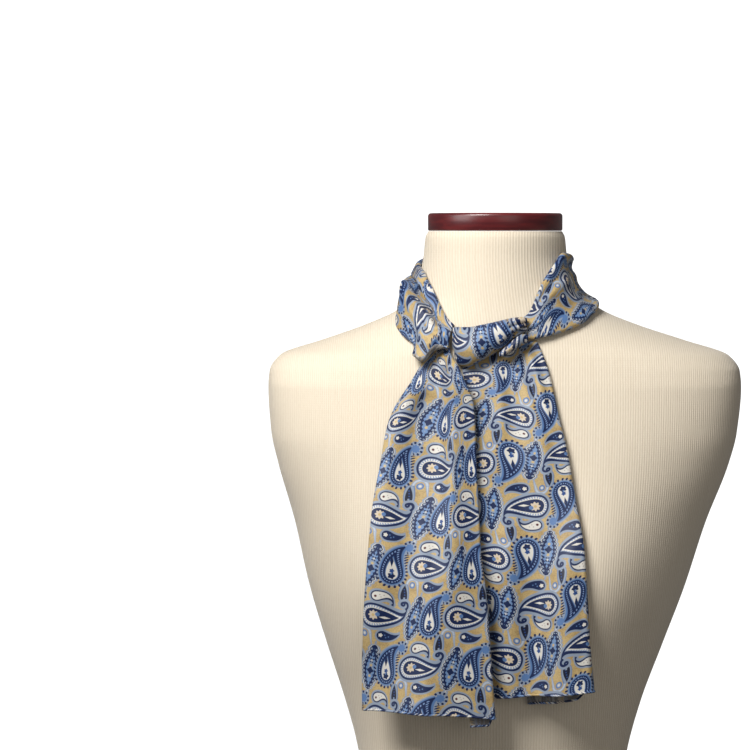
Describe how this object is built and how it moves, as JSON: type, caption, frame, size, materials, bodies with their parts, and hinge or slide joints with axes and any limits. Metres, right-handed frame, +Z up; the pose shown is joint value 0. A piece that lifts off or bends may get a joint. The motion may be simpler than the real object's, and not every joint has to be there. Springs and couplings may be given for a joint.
{
  "type": "silk scarf on a limbless dress form",
  "caption": "Paisley silk scarf folded round the neck, tied in a half knot with two hanging tails, on a limbless jersey dress form.",
  "frame": {"origin": "middle of the part's bounding box at the flat bottom of the dress form", "axes": "+Z up along the form, -Y out of its front, +X to the viewer's right"},
  "size_m": [0.4, 0.257, 0.71],
  "materials": {
    "silk": "satin silk printed with navy, light blue and cream paisley on a gold ground",
    "jersey": "matt cream rib-knit jersey",
    "mahogany": "glossy dark red lacquered wood"
  },
  "bodies": {
    "root": {"form_torso": "jersey", "neck_cap": "mahogany", "collar_left": "silk", "collar_back": "silk", "collar_right": "silk", "knot_band": "silk", "knot_core": "silk", "knot_roll": "silk", "tail_left": "silk", "tail_right": "silk"}
  },
  "joints": []
}
